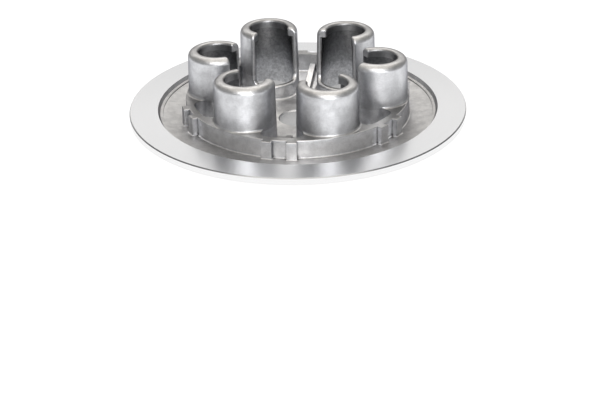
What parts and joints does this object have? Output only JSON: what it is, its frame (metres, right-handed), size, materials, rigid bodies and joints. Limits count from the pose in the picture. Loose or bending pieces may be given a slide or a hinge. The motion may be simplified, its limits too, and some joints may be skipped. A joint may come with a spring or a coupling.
{
  "type": "clutch pressure plate",
  "caption": "Round dished aluminium pressure plate of a multi-plate clutch, with a flat friction ring and slotted spring cups standing on a low wall.",
  "frame": {"origin": "centre of the hub's end face, on which the part stands", "axes": "+Z along the hub bore towards the cup ends; X and Y as in the upper view of the picture, with Y away from the viewer"},
  "size_m": [0.14, 0.14, 0.0363],
  "materials": {
    "machined_aluminium": "fine turned",
    "cast_aluminium": "die cast, satin"
  },
  "bodies": {
    "root": {"friction_ring": "machined_aluminium", "hub": "machined_aluminium", "web": "cast_aluminium", "spring_cup_1": "cast_aluminium", "spring_cup_2": "cast_aluminium", "spring_cup_3": "cast_aluminium", "spring_cup_4": "cast_aluminium", "spring_cup_5": "cast_aluminium", "spring_cup_6": "cast_aluminium", "wall_arc_1": "cast_aluminium", "wall_arc_2": "cast_aluminium", "wall_arc_3": "cast_aluminium", "wall_arc_4": "cast_aluminium", "wall_arc_5": "cast_aluminium", "wall_arc_6": "cast_aluminium", "rib_1": "cast_aluminium", "rib_2": "cast_aluminium", "rib_3": "cast_aluminium", "rib_4": "cast_aluminium", "rib_5": "cast_aluminium", "rib_6": "cast_aluminium"}
  },
  "joints": []
}
